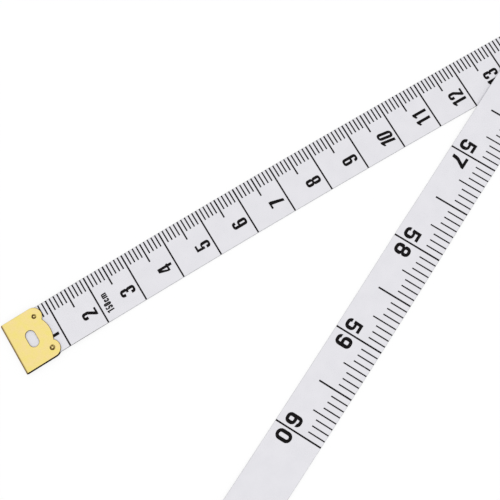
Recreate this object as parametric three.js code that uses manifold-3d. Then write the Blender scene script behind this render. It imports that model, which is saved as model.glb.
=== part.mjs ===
// Cloth tape measure: one coated band, printed in centimetres on one face and in inches on
// the other, with a folded brass tip pinned on each end. Millimetres, +Z up.
// Both free ends lie flat on the table and cross; past the crossing each turns up on edge,
// and the rest of the band is wound as a doubled roll.
// The origin is the zero of the metric scale, at mid width, on the table. +X runs along the
// metric end, whose metric face is up, towards the crossing.
import * as THREE from 'three';
import { mergeVertices } from 'three/addons/utils/BufferGeometryUtils.js';
import Module from 'manifold-3d';

// The band
const tape_width = 11.9;
const tape_thickness = 0.45;
const inch_length = 25.4;
const inches_printed = 60;
const blank_end_length = 34;         // last inch line to the outer edge of the inch tip
const scale_inset = 1.58;            // outer edge of the metric tip to the scale's zero

// How the two free ends lie
const metric_sweep_radius = 3060;    // slight sideways sweep of each free end
const inch_sweep_radius = 5000;
const crossing_metric_distance = 144;  // metric zero to the crossing, along the band
const crossing_last_inch_distance = 111.5;  // crossing to the last inch line, along the band
const crossing_angle_degrees = 28.1;
const crossing_clearance = 0.3;      // upper band over lower band
const settle_length = 18;            // the upper band comes down to the table over this
const fold_margin = 20;              // from the overlap's end to the line where an end lifts
const twist_length = 44;             // quarter turn from flat to on edge
const twist_delay = 4;               // flat stretch before a twist begins

// The doubled roll, on edge
const roll_inner_radius = 8;
const layer_spacing = 1;             // centre of one layer to the next
const loop_steps = 24;
const wave_steps = 12;               // each half of the S in the middle

// Brass tips
const tip_length = 9.65;
const tip_width = 12.5;
const tip_sheet = 0.3;
const tip_tape_gap = 0.3;            // fold centre to the band's cut end
const tip_bulge_reach = 9.58;
const tip_bulge_radius = 6.2;
const tip_ear_radius = 2.07;
const tip_slot_length = 3.95;
const tip_slot_width = 2.28;
const tip_slot_distance = 4.91;      // slot centre from the tip's outer edge
const tip_lift_length = 22;          // the band comes down from the tip's back leaf over this

// Rivets through the tips
const rivet_distance = 7.78;         // from the tip's outer edge
const rivet_offset = 4.14;           // to each side of the tip's middle
const rivet_shank_radius = 0.35;
const rivet_head_radius = 0.62;
const rivet_head_height = 0.2;
const rivet_clearance = 0.07;
const rivet_foot_recess = 0.05;

// Mesh spacing and cutting
const piece_gap = 0.3;               // between one stretch of the band and the next
const flat_spacing = 9;
const curved_spacing = 3;
const fold_segments = 8;
const outline_segments = 12;
const round_segments = 20;
const dome_segments = 4;
const fine_steps = 12;               // finer steps for measuring lengths
const halvings = 48;                 // of the range searched for the roll's radius
const cut_overrun = 2;
const neighbour_steps = 6;           // steps along the roll that count as the same place

const half_width = tape_width / 2;
const half_thickness = tape_thickness / 2;
const quarter_turn = Math.PI / 2;
const half_turn = Math.PI;
const full_turn = Math.PI * 2;
const tip_height = tape_thickness + tip_sheet * 2;
const fold_radius = tip_height / 2;

const wasm = await Module();
wasm.setup();

// Rises from 0 to 1 with level ends
function ease(value) {
  return THREE.MathUtils.smoothstep(value, 0, 1);
}

function ease_slope(value) {
  return value * (1 - value) * 6;
}

// The two free ends in plan

// A place reached along an arc that sweeps gently to the right
function swept(start, heading, sweep_radius, distance) {
  const end_heading = heading - distance / sweep_radius;
  return {
    x: start.x - sweep_radius * (Math.sin(end_heading) - Math.sin(heading)),
    y: start.y + sweep_radius * (Math.cos(end_heading) - Math.cos(heading)),
    heading: end_heading,
  };
}

function straight(start, heading, distance) {
  return {
    x: start.x + distance * Math.cos(heading),
    y: start.y + distance * Math.sin(heading),
    heading,
  };
}

const metric_zero = { x: 0, y: 0 };
const crossing = swept(metric_zero, 0, metric_sweep_radius, crossing_metric_distance);
const metric_heading = crossing.heading;
const crossing_angle = THREE.MathUtils.degToRad(crossing_angle_degrees);
const inch_heading = metric_heading + crossing_angle;

// Along each end, reach is the distance past the crossing, towards the roll
const overlap_long = (tape_width / Math.tan(crossing_angle) + tape_width / Math.sin(crossing_angle)) / 2;
const overlap_short = (tape_width / Math.sin(crossing_angle) - tape_width / Math.tan(crossing_angle)) / 2;
const fold_reach = -(overlap_long + fold_margin);
const metric_twist_start = overlap_long + twist_delay;
const inch_twist_start = overlap_short + twist_delay;
const roll_reach = inch_twist_start + twist_length;

function metric_place(reach) {
  if (reach < 0) {
    return swept(metric_zero, 0, metric_sweep_radius, crossing_metric_distance + reach);
  }
  return straight(crossing, metric_heading, reach);
}

// The inch end is followed from the roll towards its tip, so its heading points that way
function inch_place(reach) {
  if (reach < 0) {
    return swept(crossing, inch_heading + half_turn, inch_sweep_radius, -reach);
  }
  const place = straight(crossing, inch_heading, reach);
  return { x: place.x, y: place.y, heading: inch_heading + half_turn };
}

// The roll in plan: two strands, half a turn apart, that meet in an S at the centre

const pair_spacing = layer_spacing * 2;
const spiral_slope = -pair_spacing / full_turn;
const metric_start_angle = metric_heading - quarter_turn;
const inch_start_angle = inch_heading - quarter_turn;
const join_angle = inch_start_angle + half_turn;

function roll_centre(outer_radius) {
  const tangent_point = straight(crossing, inch_heading, roll_reach);
  return straight(tangent_point, inch_heading + quarter_turn, outer_radius);
}

function polar_place(centre, radius, slope, angle) {
  return {
    x: centre.x + radius * Math.cos(angle),
    y: centre.y + radius * Math.sin(angle),
    heading: angle + Math.atan2(radius, slope),
  };
}

// The loose outer lead of the metric end, from its straight stretch in to the roll
function lead_in(centre, outer_radius) {
  const towards_x = centre.x - crossing.x;
  const towards_y = centre.y - crossing.y;
  const reach = towards_x * Math.cos(metric_heading) + towards_y * Math.sin(metric_heading);
  const distance = towards_y * Math.cos(metric_heading) - towards_x * Math.sin(metric_heading);
  const span = join_angle - metric_start_angle;
  const place_at = (share) => {
    const angle = metric_start_angle + span * share;
    const wound = outer_radius + spiral_slope * (angle - join_angle);
    const blend = ease(share);
    const radius = distance + (wound - distance) * blend;
    const slope = spiral_slope * blend + ((wound - distance) * ease_slope(share)) / span;
    return polar_place(centre, radius, slope, angle);
  };
  return { reach, span, place_at };
}

// The wound stretch: in along one strand, through the S, out along the other
function wound_places(centre, outer_radius, steps) {
  const turned = (roll_inner_radius - outer_radius) / spiral_slope;
  const step_angle = full_turn / steps;
  const whole_steps = Math.floor(turned / step_angle);
  const angles = [];
  for (let step = 0; step <= whole_steps; step += 1) {
    angles.push(step * step_angle);
  }
  angles.push(turned);
  const inwards = angles.map((angle) => {
    const radius = outer_radius + spiral_slope * angle;
    return polar_place(centre, radius, spiral_slope, join_angle + angle);
  });
  const outwards = angles.map((angle) => {
    const radius = outer_radius + spiral_slope * angle;
    const place = polar_place(centre, radius, spiral_slope, inch_start_angle + angle);
    return { x: place.x, y: place.y, heading: place.heading + half_turn };
  });
  const wave = [];
  const wave_radius = roll_inner_radius / 2;
  const metric_end_angle = join_angle + turned;
  const first_centre = straight(centre, metric_end_angle, wave_radius);
  const second_centre = straight(centre, metric_end_angle, -wave_radius);
  for (let step = 1; step <= wave_steps; step += 1) {
    const angle = metric_end_angle + (half_turn * step) / wave_steps;
    wave.push(polar_place(first_centre, wave_radius, 0, angle));
  }
  for (let step = 1; step < wave_steps; step += 1) {
    const angle = metric_end_angle - (half_turn * step) / wave_steps;
    const place = polar_place(second_centre, wave_radius, 0, angle);
    wave.push({ x: place.x, y: place.y, heading: place.heading + half_turn });
  }
  return [...inwards, ...wave, ...outwards.reverse()];
}

function path_length(places) {
  let length = 0;
  for (let index = 1; index < places.length; index += 1) {
    const last = places[index - 1];
    length += Math.hypot(places[index].x - last.x, places[index].y - last.y);
  }
  return length;
}

function lead_places(lead, count) {
  return Array.from({ length: count + 1 }, (unused, index) => lead.place_at(index / count));
}

// The band from the crossing, round the roll and back to the crossing
const lead_steps = Math.ceil((loop_steps * (join_angle - metric_start_angle)) / full_turn);
function looped_length(outer_radius) {
  const centre = roll_centre(outer_radius);
  const lead = lead_in(centre, outer_radius);
  const lead_length = path_length(lead_places(lead, lead_steps * fine_steps));
  const wound_length = path_length(wound_places(centre, outer_radius, loop_steps * fine_steps));
  return lead.reach + lead_length + wound_length + roll_reach;
}

// The roll is as wide as the band's length makes it
const inch_scale_length = inches_printed * inch_length;
const looped_target = inch_scale_length - crossing_last_inch_distance - crossing_metric_distance;
let small_radius = roll_inner_radius;
let large_radius = roll_inner_radius + looped_target / full_turn;
for (let round = 0; round < halvings; round += 1) {
  const middle_radius = (small_radius + large_radius) / 2;
  if (looped_length(middle_radius) < looped_target) {
    small_radius = middle_radius;
  } else {
    large_radius = middle_radius;
  }
}
const roll_radius = (small_radius + large_radius) / 2;
const roll_middle = roll_centre(roll_radius);

// The band as a solid: sections across it, joined one to the next

// turn is 0 with the metric face up, a quarter turn on edge, a half turn with it down
function section(place, turn, lift) {
  const left = new THREE.Vector3(-Math.sin(place.heading), Math.cos(place.heading), 0);
  const up = new THREE.Vector3(0, 0, 1);
  const rise = half_width * Math.abs(Math.sin(turn)) + half_thickness * Math.abs(Math.cos(turn));
  const across = left.clone().multiplyScalar(Math.cos(turn)).addScaledVector(up, -Math.sin(turn));
  const out = up.clone().multiplyScalar(Math.cos(turn)).addScaledVector(left, Math.sin(turn));
  return { centre: new THREE.Vector3(place.x, place.y, rise + lift), across, out };
}

function band_geometry(sections) {
  const corner_signs = [[1, 1], [-1, 1], [-1, -1], [1, -1]];
  const corners = corner_signs.length;
  const positions = [];
  for (const { centre, across, out } of sections) {
    for (const [side, face] of corner_signs) {
      const point = centre.clone();
      point.addScaledVector(across, side * half_width);
      point.addScaledVector(out, face * half_thickness);
      positions.push(point.x, point.y, point.z);
    }
  }
  const faces = [];
  for (let step = 0; step < sections.length - 1; step += 1) {
    corner_signs.forEach(([, face], corner) => {
      const next_corner = (corner + 1) % corners;
      const here = step * corners + corner;
      const beside = step * corners + next_corner;
      const ahead = here + corners;
      const ahead_beside = beside + corners;
      // Both faces fold along the same diagonal, so a twisted band keeps its thickness
      if (face > 0) {
        faces.push(here, beside, ahead, beside, ahead_beside, ahead);
      } else {
        faces.push(here, beside, ahead_beside, here, ahead_beside, ahead);
      }
    });
  }
  const last = (sections.length - 1) * corners;
  faces.push(0, 2, 1, 0, 3, 2);
  faces.push(last, last + 1, last + 2, last, last + 2, last + 3);
  const geometry = new THREE.BufferGeometry();
  geometry.setAttribute('position', new THREE.Float32BufferAttribute(positions, 3));
  geometry.setIndex(faces);
  return geometry;
}

// Places from one reach to another, no further apart than the spacing
function reaches(from, to, spacing) {
  const count = Math.max(1, Math.ceil(Math.abs(to - from) / spacing));
  return Array.from({ length: count + 1 }, (unused, index) => from + ((to - from) * index) / count);
}

function joined_reaches(...runs) {
  return runs.flatMap((run, index) => (index === 0 ? run : run.slice(1)));
}

// Each free end: out of its tip, down from the back leaf to the table, on to its fold line
const metric_cut_reach = -(crossing_metric_distance + scale_inset) + fold_radius + tip_tape_gap;
const metric_mouth_reach = -(crossing_metric_distance + scale_inset) + tip_length;
const inch_free_length = crossing_last_inch_distance + blank_end_length;
const inch_cut_reach = -inch_free_length + fold_radius + tip_tape_gap;
const inch_mouth_reach = -inch_free_length + tip_length;

function tip_lift(distance_from_mouth) {
  return tip_sheet * (1 - ease(distance_from_mouth / tip_lift_length));
}

function free_end_reaches(cut_reach, mouth_reach) {
  const landed_reach = mouth_reach + tip_lift_length;
  return joined_reaches(
    [cut_reach, mouth_reach],
    reaches(mouth_reach, landed_reach, curved_spacing),
    reaches(landed_reach, fold_reach - piece_gap / 2, flat_spacing),
  );
}

function metric_end_sections() {
  return free_end_reaches(metric_cut_reach, metric_mouth_reach).map((reach) =>
    section(metric_place(reach), 0, tip_lift(reach - metric_mouth_reach)));
}

function inch_end_sections() {
  const outwards = free_end_reaches(inch_cut_reach, inch_mouth_reach).reverse();
  return outwards.map((reach) =>
    section(inch_place(reach), half_turn, tip_lift(reach - inch_mouth_reach)));
}

// The metric lead: under the crossing, up on edge, and round into the roll
const metric_lead = lead_in(roll_middle, roll_radius);

function metric_turn(reach) {
  return quarter_turn * ease((reach - metric_twist_start) / twist_length);
}

function metric_lead_sections() {
  const flat = reaches(fold_reach + piece_gap / 2, metric_twist_start, flat_spacing);
  const turning = reaches(metric_twist_start, metric_lead.reach, curved_spacing);
  const sections = joined_reaches(flat, turning).map((reach) =>
    section(metric_place(reach), metric_turn(reach), 0));
  const curve_steps = lead_steps * 2;
  const fine = lead_places(metric_lead, curve_steps * fine_steps);
  const end_share = 1 - piece_gap / (metric_lead.span * roll_radius);
  for (let step = 1; step <= curve_steps; step += 1) {
    const travelled = path_length(fine.slice(0, step * fine_steps + 1));
    const share = Math.min(step / curve_steps, end_share);
    const turn = metric_turn(metric_lead.reach + travelled);
    sections.push(section(metric_lead.place_at(share), turn, 0));
  }
  return sections;
}

// The inch lead: down off its edge from the roll, over the crossing, to its fold line
const crossing_lift = tape_thickness + crossing_clearance;

function inch_turn(reach) {
  return quarter_turn + quarter_turn * (1 - ease((reach - inch_twist_start) / twist_length));
}

function inch_lift(reach) {
  const past_overlap = Math.abs(reach) - overlap_long;
  return crossing_lift * (1 - ease(past_overlap / settle_length));
}

function inch_lead_sections() {
  const turning = reaches(roll_reach - piece_gap, inch_twist_start, curved_spacing);
  const over = reaches(inch_twist_start, -overlap_long, flat_spacing);
  const settling = reaches(-overlap_long, fold_reach + piece_gap / 2, curved_spacing);
  return joined_reaches(turning, over, settling).map((reach) =>
    section(inch_place(reach), inch_turn(reach), inch_lift(reach)));
}

const wound = wound_places(roll_middle, roll_radius, loop_steps);

function roll_sections() {
  return wound.map((place) => section(place, quarter_turn, 0));
}

// The least gap between layers of the roll, from the points of each layer's two faces to
// the straight runs between the points of every layer that isn't its own
function distance_to_run(point, start, end) {
  const run_x = end.x - start.x;
  const run_y = end.y - start.y;
  const along = ((point.x - start.x) * run_x + (point.y - start.y) * run_y) / (run_x ** 2 + run_y ** 2);
  const held = THREE.MathUtils.clamp(along, 0, 1);
  return Math.hypot(point.x - start.x - held * run_x, point.y - start.y - held * run_y);
}

function least_roll_gap() {
  const faces = [-half_thickness, half_thickness].map((offset) =>
    wound.map((place) => straight(place, place.heading + quarter_turn, offset)));
  let least = Infinity;
  for (const face of faces) {
    for (const other of faces) {
      face.forEach((point, index) => {
        for (let run = 1; run < other.length; run += 1) {
          if (Math.abs(run - index) > neighbour_steps) {
            least = Math.min(least, distance_to_run(point, other[run - 1], other[run]));
          }
        }
      });
    }
  }
  return least;
}

console.log(`roll: outer radius ${roll_radius.toFixed(2)}, least gap ${least_roll_gap().toFixed(3)}`);

// Solids for cutting

function solid_of(geometry) {
  const bare = geometry.clone();
  bare.deleteAttribute('normal');
  bare.deleteAttribute('uv');
  const merged = mergeVertices(bare);
  const data = { numProp: 3 };
  data.vertProperties = new Float32Array(merged.attributes.position.array);
  data.triVerts = new Uint32Array(merged.index.array);
  return new wasm.Manifold(new wasm.Mesh(data));
}

function geometry_of(solid) {
  const mesh = solid.getMesh();
  const geometry = new THREE.BufferGeometry();
  geometry.setAttribute('position', new THREE.BufferAttribute(mesh.vertProperties, mesh.numProp));
  geometry.setIndex(new THREE.BufferAttribute(mesh.triVerts, 1));
  return geometry;
}

// A shape drawn in plan, raised from one height to another
function raised(shape, from, to, segments) {
  const settings = { depth: to - from, bevelEnabled: false, curveSegments: segments };
  return new THREE.ExtrudeGeometry(shape, settings).translate(0, 0, from);
}

// Brass tip, drawn with its outer edge on x = 0 and its ears towards +x

const ear_distance = tip_length - tip_ear_radius;
const ear_offset = tip_width / 2 - tip_ear_radius;
const bulge_centre = tip_bulge_reach - tip_bulge_radius;

// Where an ear's round meets the bulge between the ears
function notch_point() {
  const towards = new THREE.Vector2(ear_distance - bulge_centre, ear_offset);
  const apart = towards.length();
  const along = (tip_bulge_radius ** 2 - tip_ear_radius ** 2 + apart ** 2) / (apart * 2);
  const aside = Math.sqrt(tip_bulge_radius ** 2 - along ** 2);
  const unit = towards.normalize();
  return new THREE.Vector2(
    bulge_centre + unit.x * along + unit.y * aside,
    unit.y * along - unit.x * aside,
  );
}

function tip_outline() {
  const notch = notch_point();
  const ear_end = Math.atan2(notch.y - ear_offset, notch.x - ear_distance);
  const bulge_end = Math.atan2(notch.y, notch.x - bulge_centre);
  const shape = new THREE.Shape();
  shape.moveTo(-cut_overrun, -tip_width / 2);
  shape.lineTo(ear_distance, -tip_width / 2);
  shape.absarc(ear_distance, -ear_offset, tip_ear_radius, -quarter_turn, -ear_end, false);
  shape.absarc(bulge_centre, 0, tip_bulge_radius, -bulge_end, bulge_end, false);
  shape.absarc(ear_distance, ear_offset, tip_ear_radius, ear_end, quarter_turn, false);
  shape.lineTo(-cut_overrun, tip_width / 2);
  shape.closePath();
  return shape;
}

// The folded sheet seen from its side: back leaf, round fold, front leaf
function fold_profile() {
  const inner_radius = fold_radius - tip_sheet;
  const leaf_end = tip_length + cut_overrun;
  const shape = new THREE.Shape();
  shape.moveTo(leaf_end, 0);
  shape.lineTo(leaf_end, tip_sheet);
  shape.lineTo(fold_radius, tip_sheet);
  shape.absarc(fold_radius, fold_radius, inner_radius, -quarter_turn, -quarter_turn - half_turn, true);
  shape.lineTo(leaf_end, tip_height - tip_sheet);
  shape.lineTo(leaf_end, tip_height);
  shape.lineTo(fold_radius, tip_height);
  shape.absarc(fold_radius, fold_radius, fold_radius, quarter_turn, quarter_turn + half_turn, false);
  shape.closePath();
  return shape;
}

function slot_outline() {
  const end_radius = tip_slot_width / 2;
  const end_offset = tip_slot_length / 2 - end_radius;
  const shape = new THREE.Shape();
  shape.absarc(tip_slot_distance, end_offset, end_radius, 0, half_turn, false);
  shape.absarc(tip_slot_distance, -end_offset, end_radius, half_turn, full_turn, false);
  shape.closePath();
  return shape;
}

function rivet_hole(x, y) {
  const shape = new THREE.Shape();
  shape.absarc(x, y, rivet_shank_radius + rivet_clearance, 0, full_turn, false);
  const cutter = raised(shape, -cut_overrun, tip_height + cut_overrun, round_segments);
  return solid_of(cutter);
}

const ear_sides = [1, -1];

function tip_geometry() {
  const width = tip_width + cut_overrun;
  const folded = raised(fold_profile(), -width / 2, width / 2, fold_segments).rotateX(quarter_turn);
  const outline = raised(tip_outline(), -cut_overrun, tip_height + cut_overrun, outline_segments);
  const slot = raised(slot_outline(), tip_height / 2, tip_height + cut_overrun, outline_segments);
  let solid = solid_of(folded).intersect(solid_of(outline)).subtract(solid_of(slot));
  for (const side of ear_sides) {
    solid = solid.subtract(rivet_hole(rivet_distance, side * rivet_offset));
  }
  return geometry_of(solid);
}

// The band's own holes under the rivets of one tip
function pierced(geometry, tip_place) {
  let solid = solid_of(geometry);
  for (const side of ear_sides) {
    const along = straight(tip_place, tip_place.heading, rivet_distance);
    const hole = straight(along, tip_place.heading + quarter_turn, side * rivet_offset);
    solid = solid.subtract(rivet_hole(hole.x, hole.y));
  }
  return geometry_of(solid);
}

// Rivet: shank through both leaves, low domed head on the front leaf
function rivet_geometry() {
  const profile = [
    new THREE.Vector2(0, rivet_foot_recess),
    new THREE.Vector2(rivet_shank_radius, rivet_foot_recess),
    new THREE.Vector2(rivet_shank_radius, tip_height),
  ];
  for (let step = 0; step <= dome_segments; step += 1) {
    const angle = (quarter_turn * step) / dome_segments;
    const radius = step === dome_segments ? 0 : rivet_head_radius * Math.cos(angle);
    profile.push(new THREE.Vector2(radius, tip_height + rivet_head_height * Math.sin(angle)));
  }
  return new THREE.LatheGeometry(profile, round_segments).rotateX(quarter_turn);
}

// Places of the tips, each heading inwards from its outer edge
const metric_tip_place = metric_place(-(crossing_metric_distance + scale_inset));
const inch_tip_end = inch_place(-inch_free_length);
const inch_tip_place = { x: inch_tip_end.x, y: inch_tip_end.y, heading: inch_tip_end.heading + half_turn };

const tape_colour = 0xe2e1e6;
const brass_colour = 0xe3c878;
const rivet_colour = 0xc9a659;

function tape_material() {
  return new THREE.MeshStandardMaterial({
    color: tape_colour, roughness: 0.45, metalness: 0, flatShading: true,
  });
}

function brass_material(colour, roughness) {
  return new THREE.MeshStandardMaterial({
    color: colour, roughness, metalness: 1, flatShading: true,
  });
}

function named(name, geometry, material) {
  const mesh = new THREE.Mesh(geometry, material);
  mesh.name = name;
  return mesh;
}

// One brass tip with its two rivets
function tip_group(end_name, place) {
  const group = new THREE.Group();
  group.position.set(place.x, place.y, 0);
  group.rotation.z = place.heading;
  group.add(named(`${end_name}_tip`, tip_geometry(), brass_material(brass_colour, 0.35)));
  const side_names = ['left', 'right'];
  ear_sides.forEach((side, index) => {
    const material = brass_material(rivet_colour, 0.3);
    const rivet = named(`${end_name}_tip_rivet_${side_names[index]}`, rivet_geometry(), material);
    rivet.position.set(rivet_distance, side * rivet_offset, 0);
    group.add(rivet);
  });
  return group;
}

const metric_end = band_geometry(metric_end_sections());
const inch_end = band_geometry(inch_end_sections());

const tape_measure = new THREE.Group();
tape_measure.add(named('metric_end_tape', pierced(metric_end, metric_tip_place), tape_material()));
tape_measure.add(named('inch_end_tape', pierced(inch_end, inch_tip_place), tape_material()));
tape_measure.add(named('metric_lead_tape', band_geometry(metric_lead_sections()), tape_material()));
tape_measure.add(named('inch_lead_tape', band_geometry(inch_lead_sections()), tape_material()));
tape_measure.add(named('tape_roll', band_geometry(roll_sections()), tape_material()));
tape_measure.add(tip_group('metric', metric_tip_place));
tape_measure.add(tip_group('inch', inch_tip_place));

export default tape_measure;
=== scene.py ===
import math

import bpy
import numpy as np
from mathutils import Matrix, Vector


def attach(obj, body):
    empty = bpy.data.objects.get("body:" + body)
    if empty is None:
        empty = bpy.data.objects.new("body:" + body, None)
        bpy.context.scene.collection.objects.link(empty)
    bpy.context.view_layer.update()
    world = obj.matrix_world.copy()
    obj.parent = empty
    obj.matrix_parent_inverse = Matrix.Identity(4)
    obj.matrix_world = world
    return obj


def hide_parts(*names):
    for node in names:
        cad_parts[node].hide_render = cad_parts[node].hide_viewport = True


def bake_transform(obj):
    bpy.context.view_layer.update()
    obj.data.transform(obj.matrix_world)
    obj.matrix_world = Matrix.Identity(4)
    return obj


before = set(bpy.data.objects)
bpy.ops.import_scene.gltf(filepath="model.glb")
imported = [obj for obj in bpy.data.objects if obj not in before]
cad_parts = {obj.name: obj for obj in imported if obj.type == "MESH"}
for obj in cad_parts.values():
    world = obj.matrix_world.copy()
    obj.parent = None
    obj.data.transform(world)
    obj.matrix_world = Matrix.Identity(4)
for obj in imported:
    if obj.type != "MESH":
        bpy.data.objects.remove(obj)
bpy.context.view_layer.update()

# The table under the tape: a plain white top, far larger than the tape, and the camera that
# looks almost straight down on it. A broad soft light hangs over it, and the room round it is
# pale, so that the tape lies in an even light with hardly a shadow.
mm = 0.001

view_width_pixels = 500
focal_length_pixels = 1158
camera_place = Vector((27.29, -47.27, 262.83)) * mm
camera_forward = Vector((0.1075, 0.1436, -0.9838)).normalized()
camera_up_hint = Vector((0.5248, 0.8323, 0.1788))
camera_nearest = 10 * mm

camera_right = camera_forward.cross(camera_up_hint).normalized()
camera_up = camera_right.cross(camera_forward)
bpy.ops.object.camera_add()
camera = bpy.context.object
camera.name = "camera"
camera.data.lens = camera.data.sensor_width * focal_length_pixels / view_width_pixels
camera.data.clip_start = camera_nearest
turned = Matrix((camera_right, camera_up, -camera_forward)).transposed().to_4x4()
camera.matrix_world = Matrix.Translation(camera_place) @ turned
bpy.context.scene.camera = camera
bpy.context.scene.view_settings.view_transform = "Standard"

table_size = 3
table_drop = 0.03 * mm
table_colour = (0.82, 0.82, 0.82, 1)
backdrop_share = 0.72
backdrop_strength = 1.08


def worked_out(nodes, links, operation, first, second=None):
    """One math node on a socket and, where it takes two, another socket or a number."""
    step = nodes.new("ShaderNodeMath")
    step.operation = operation
    links.new(first, step.inputs[0])
    if isinstance(second, float):
        step.inputs[1].default_value = second
    elif second is not None:
        links.new(second, step.inputs[1])
    return step.outputs[0]


bpy.ops.mesh.primitive_plane_add(size=table_size, location=(0, 0, -table_drop))
table = bpy.context.object
table.name = "table"
table_material = bpy.data.materials.new("white table")
table_material.use_nodes = True
nodes = table_material.node_tree.nodes
links = table_material.node_tree.links
nodes.clear()
matt = nodes.new("ShaderNodeBsdfDiffuse")
matt.inputs["Color"].default_value = table_colour
glow = nodes.new("ShaderNodeEmission")
glow.inputs["Strength"].default_value = backdrop_strength
rays = nodes.new("ShaderNodeLightPath")
seen = rays.outputs["Is Camera Ray"]
for kind in ("Is Glossy Ray", "Is Transmission Ray"):
    seen = worked_out(nodes, links, "MAXIMUM", seen, rays.outputs[kind])
share = worked_out(nodes, links, "MULTIPLY", seen, backdrop_share)
mixed = nodes.new("ShaderNodeMixShader")
surface = nodes.new("ShaderNodeOutputMaterial")
for source, socket in zip((share, matt.outputs[0], glow.outputs[0]), mixed.inputs):
    links.new(source, socket)
links.new(mixed.outputs[0], surface.inputs["Surface"])
table.data.materials.append(table_material)

lamp_place = (0.1, 0.05, 0.8)
lamp_size = 1.5
lamp_watts = 4
room_brightness = 0.7

bpy.ops.object.light_add(type="AREA", location=lamp_place)
lamp = bpy.context.object
lamp.name = "soft_lamp"
lamp.data.shape = "SQUARE"
lamp.data.size = lamp_size
lamp.data.energy = lamp_watts
room = bpy.data.worlds.new("pale room")
room.use_nodes = True
room.node_tree.nodes["Background"].inputs["Color"].default_value = (1, 1, 1, 1)
room.node_tree.nodes["Background"].inputs["Strength"].default_value = room_brightness
bpy.context.scene.world = room

# The tape: one band of woven cloth with a smooth white coating, cut to width with plain edges.
# Both free ends lie flat and cross; past the crossing each turns up on edge, and the rest is
# wound as a doubled roll. It is laid out as stations along its middle line.
tape_width = 11.9 * mm
tape_thickness = 0.45 * mm
tape_edge_round = 0.06 * mm
inch = 25.4 * mm
scale_length = 60 * inch
blank_end = 34 * mm
scale_inset = 1.58 * mm

metric_sweep_radius = 3060 * mm
inch_sweep_radius = 5000 * mm
crossing_metric_distance = 144 * mm
crossing_inch_distance = scale_length - 111.5 * mm
crossing_angle = math.radians(28.1)
crossing_lift = tape_thickness + 0.08 * mm
settle_length = 18 * mm
fold_margin = 20 * mm
bend_length = 12 * mm
bend_overrun = 1 * mm
twist_length = 44 * mm
twist_delay = 4 * mm
joint_before_twist = 0.31 * mm

roll_radius = 19.92 * mm
roll_inner_radius = 8 * mm
strand_spacing = 2 * mm

tip_length = 9.65 * mm
tip_sheet = 0.3 * mm
tip_height = tape_thickness + 2 * tip_sheet
fold_radius = tip_height / 2
tip_tape_gap = 0.3 * mm
tip_lift_length = 22 * mm

half_width = tape_width / 2
half_thickness = tape_thickness / 2
quarter_turn = math.pi / 2


def ease(value):
    held = np.clip(value, 0, 1)
    return held * held * (3 - 2 * held)


def ahead(place, distance):
    x, y, heading = place
    return x + np.cos(heading) * distance, y + np.sin(heading) * distance, heading + 0 * distance


def swept(place, sweep_radius, distance):
    x, y, heading = place
    turned_heading = heading - distance / sweep_radius
    return (
        x - sweep_radius * (np.sin(turned_heading) - np.sin(heading)),
        y + sweep_radius * (np.cos(turned_heading) - np.cos(heading)),
        turned_heading,
    )


def round_centre(centre, radius, slope, angle):
    return (
        centre[0] + radius * np.cos(angle),
        centre[1] + radius * np.sin(angle),
        angle + np.arctan2(radius, slope),
    )


# Every distance along the tape is counted from the zero that both scales share.
metric_zero = (0.0, 0.0, 0.0)
metric_line = swept(metric_zero, metric_sweep_radius, crossing_metric_distance)
crossing_x, crossing_y, metric_heading = metric_line
inch_heading = metric_heading + crossing_angle
inch_line = (crossing_x, crossing_y, inch_heading)
inch_line_back = (crossing_x, crossing_y, inch_heading + math.pi)
overlap_long = tape_width * (1 / math.tan(crossing_angle) + 1 / math.sin(crossing_angle)) / 2
overlap_short = tape_width * (1 / math.sin(crossing_angle) - 1 / math.tan(crossing_angle)) / 2
metric_fold_distance = crossing_metric_distance - overlap_long - fold_margin
inch_fold_distance = crossing_inch_distance + overlap_long + fold_margin
metric_twist_start = overlap_long + twist_delay
inch_twist_start = overlap_short + twist_delay
roll_reach = inch_twist_start + twist_length

tangent = ahead(inch_line, roll_reach)
roll_centre = ahead((tangent[0], tangent[1], inch_heading + quarter_turn), roll_radius)[:2]
offset_x = roll_centre[0] - crossing_x
offset_y = roll_centre[1] - crossing_y
lead_reach = offset_x * math.cos(metric_heading) + offset_y * math.sin(metric_heading)
lead_distance = offset_y * math.cos(metric_heading) - offset_x * math.sin(metric_heading)
metric_start_angle = metric_heading - quarter_turn
inch_start_angle = inch_heading - quarter_turn
join_angle = inch_start_angle + math.pi
lead_span = join_angle - metric_start_angle
strand_slope = -strand_spacing / (2 * math.pi)
strand_turned = (roll_inner_radius - roll_radius) / strand_slope
wave_radius = roll_inner_radius / 2
wave_angle = join_angle + strand_turned

fine_step = 0.2 * mm


def fine(length):
    return np.linspace(0, 1, int(length / fine_step) + 1)


def strand(start_angle):
    angle = strand_turned * fine(strand_turned * roll_radius)
    radius = roll_radius + strand_slope * angle
    return round_centre(roll_centre, radius, strand_slope, start_angle + angle)


def wave_half(side):
    angle = wave_angle + side * math.pi * fine(math.pi * wave_radius)
    middle = ahead((*roll_centre, wave_angle), side * wave_radius)
    x, y, heading = round_centre(middle, wave_radius, 0, angle)
    return x, y, heading + (math.pi if side < 0 else 0)


def backwards(places):
    x, y, heading = places
    return x[::-1], y[::-1], heading[::-1] + math.pi


metric_cut = -scale_inset + fold_radius + tip_tape_gap
metric_mouth = -scale_inset + tip_length
inch_end_distance = scale_length + blank_end
inch_cut = inch_end_distance - fold_radius - tip_tape_gap
inch_mouth = inch_end_distance - tip_length
inch_free_length = inch_cut - crossing_inch_distance

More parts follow.
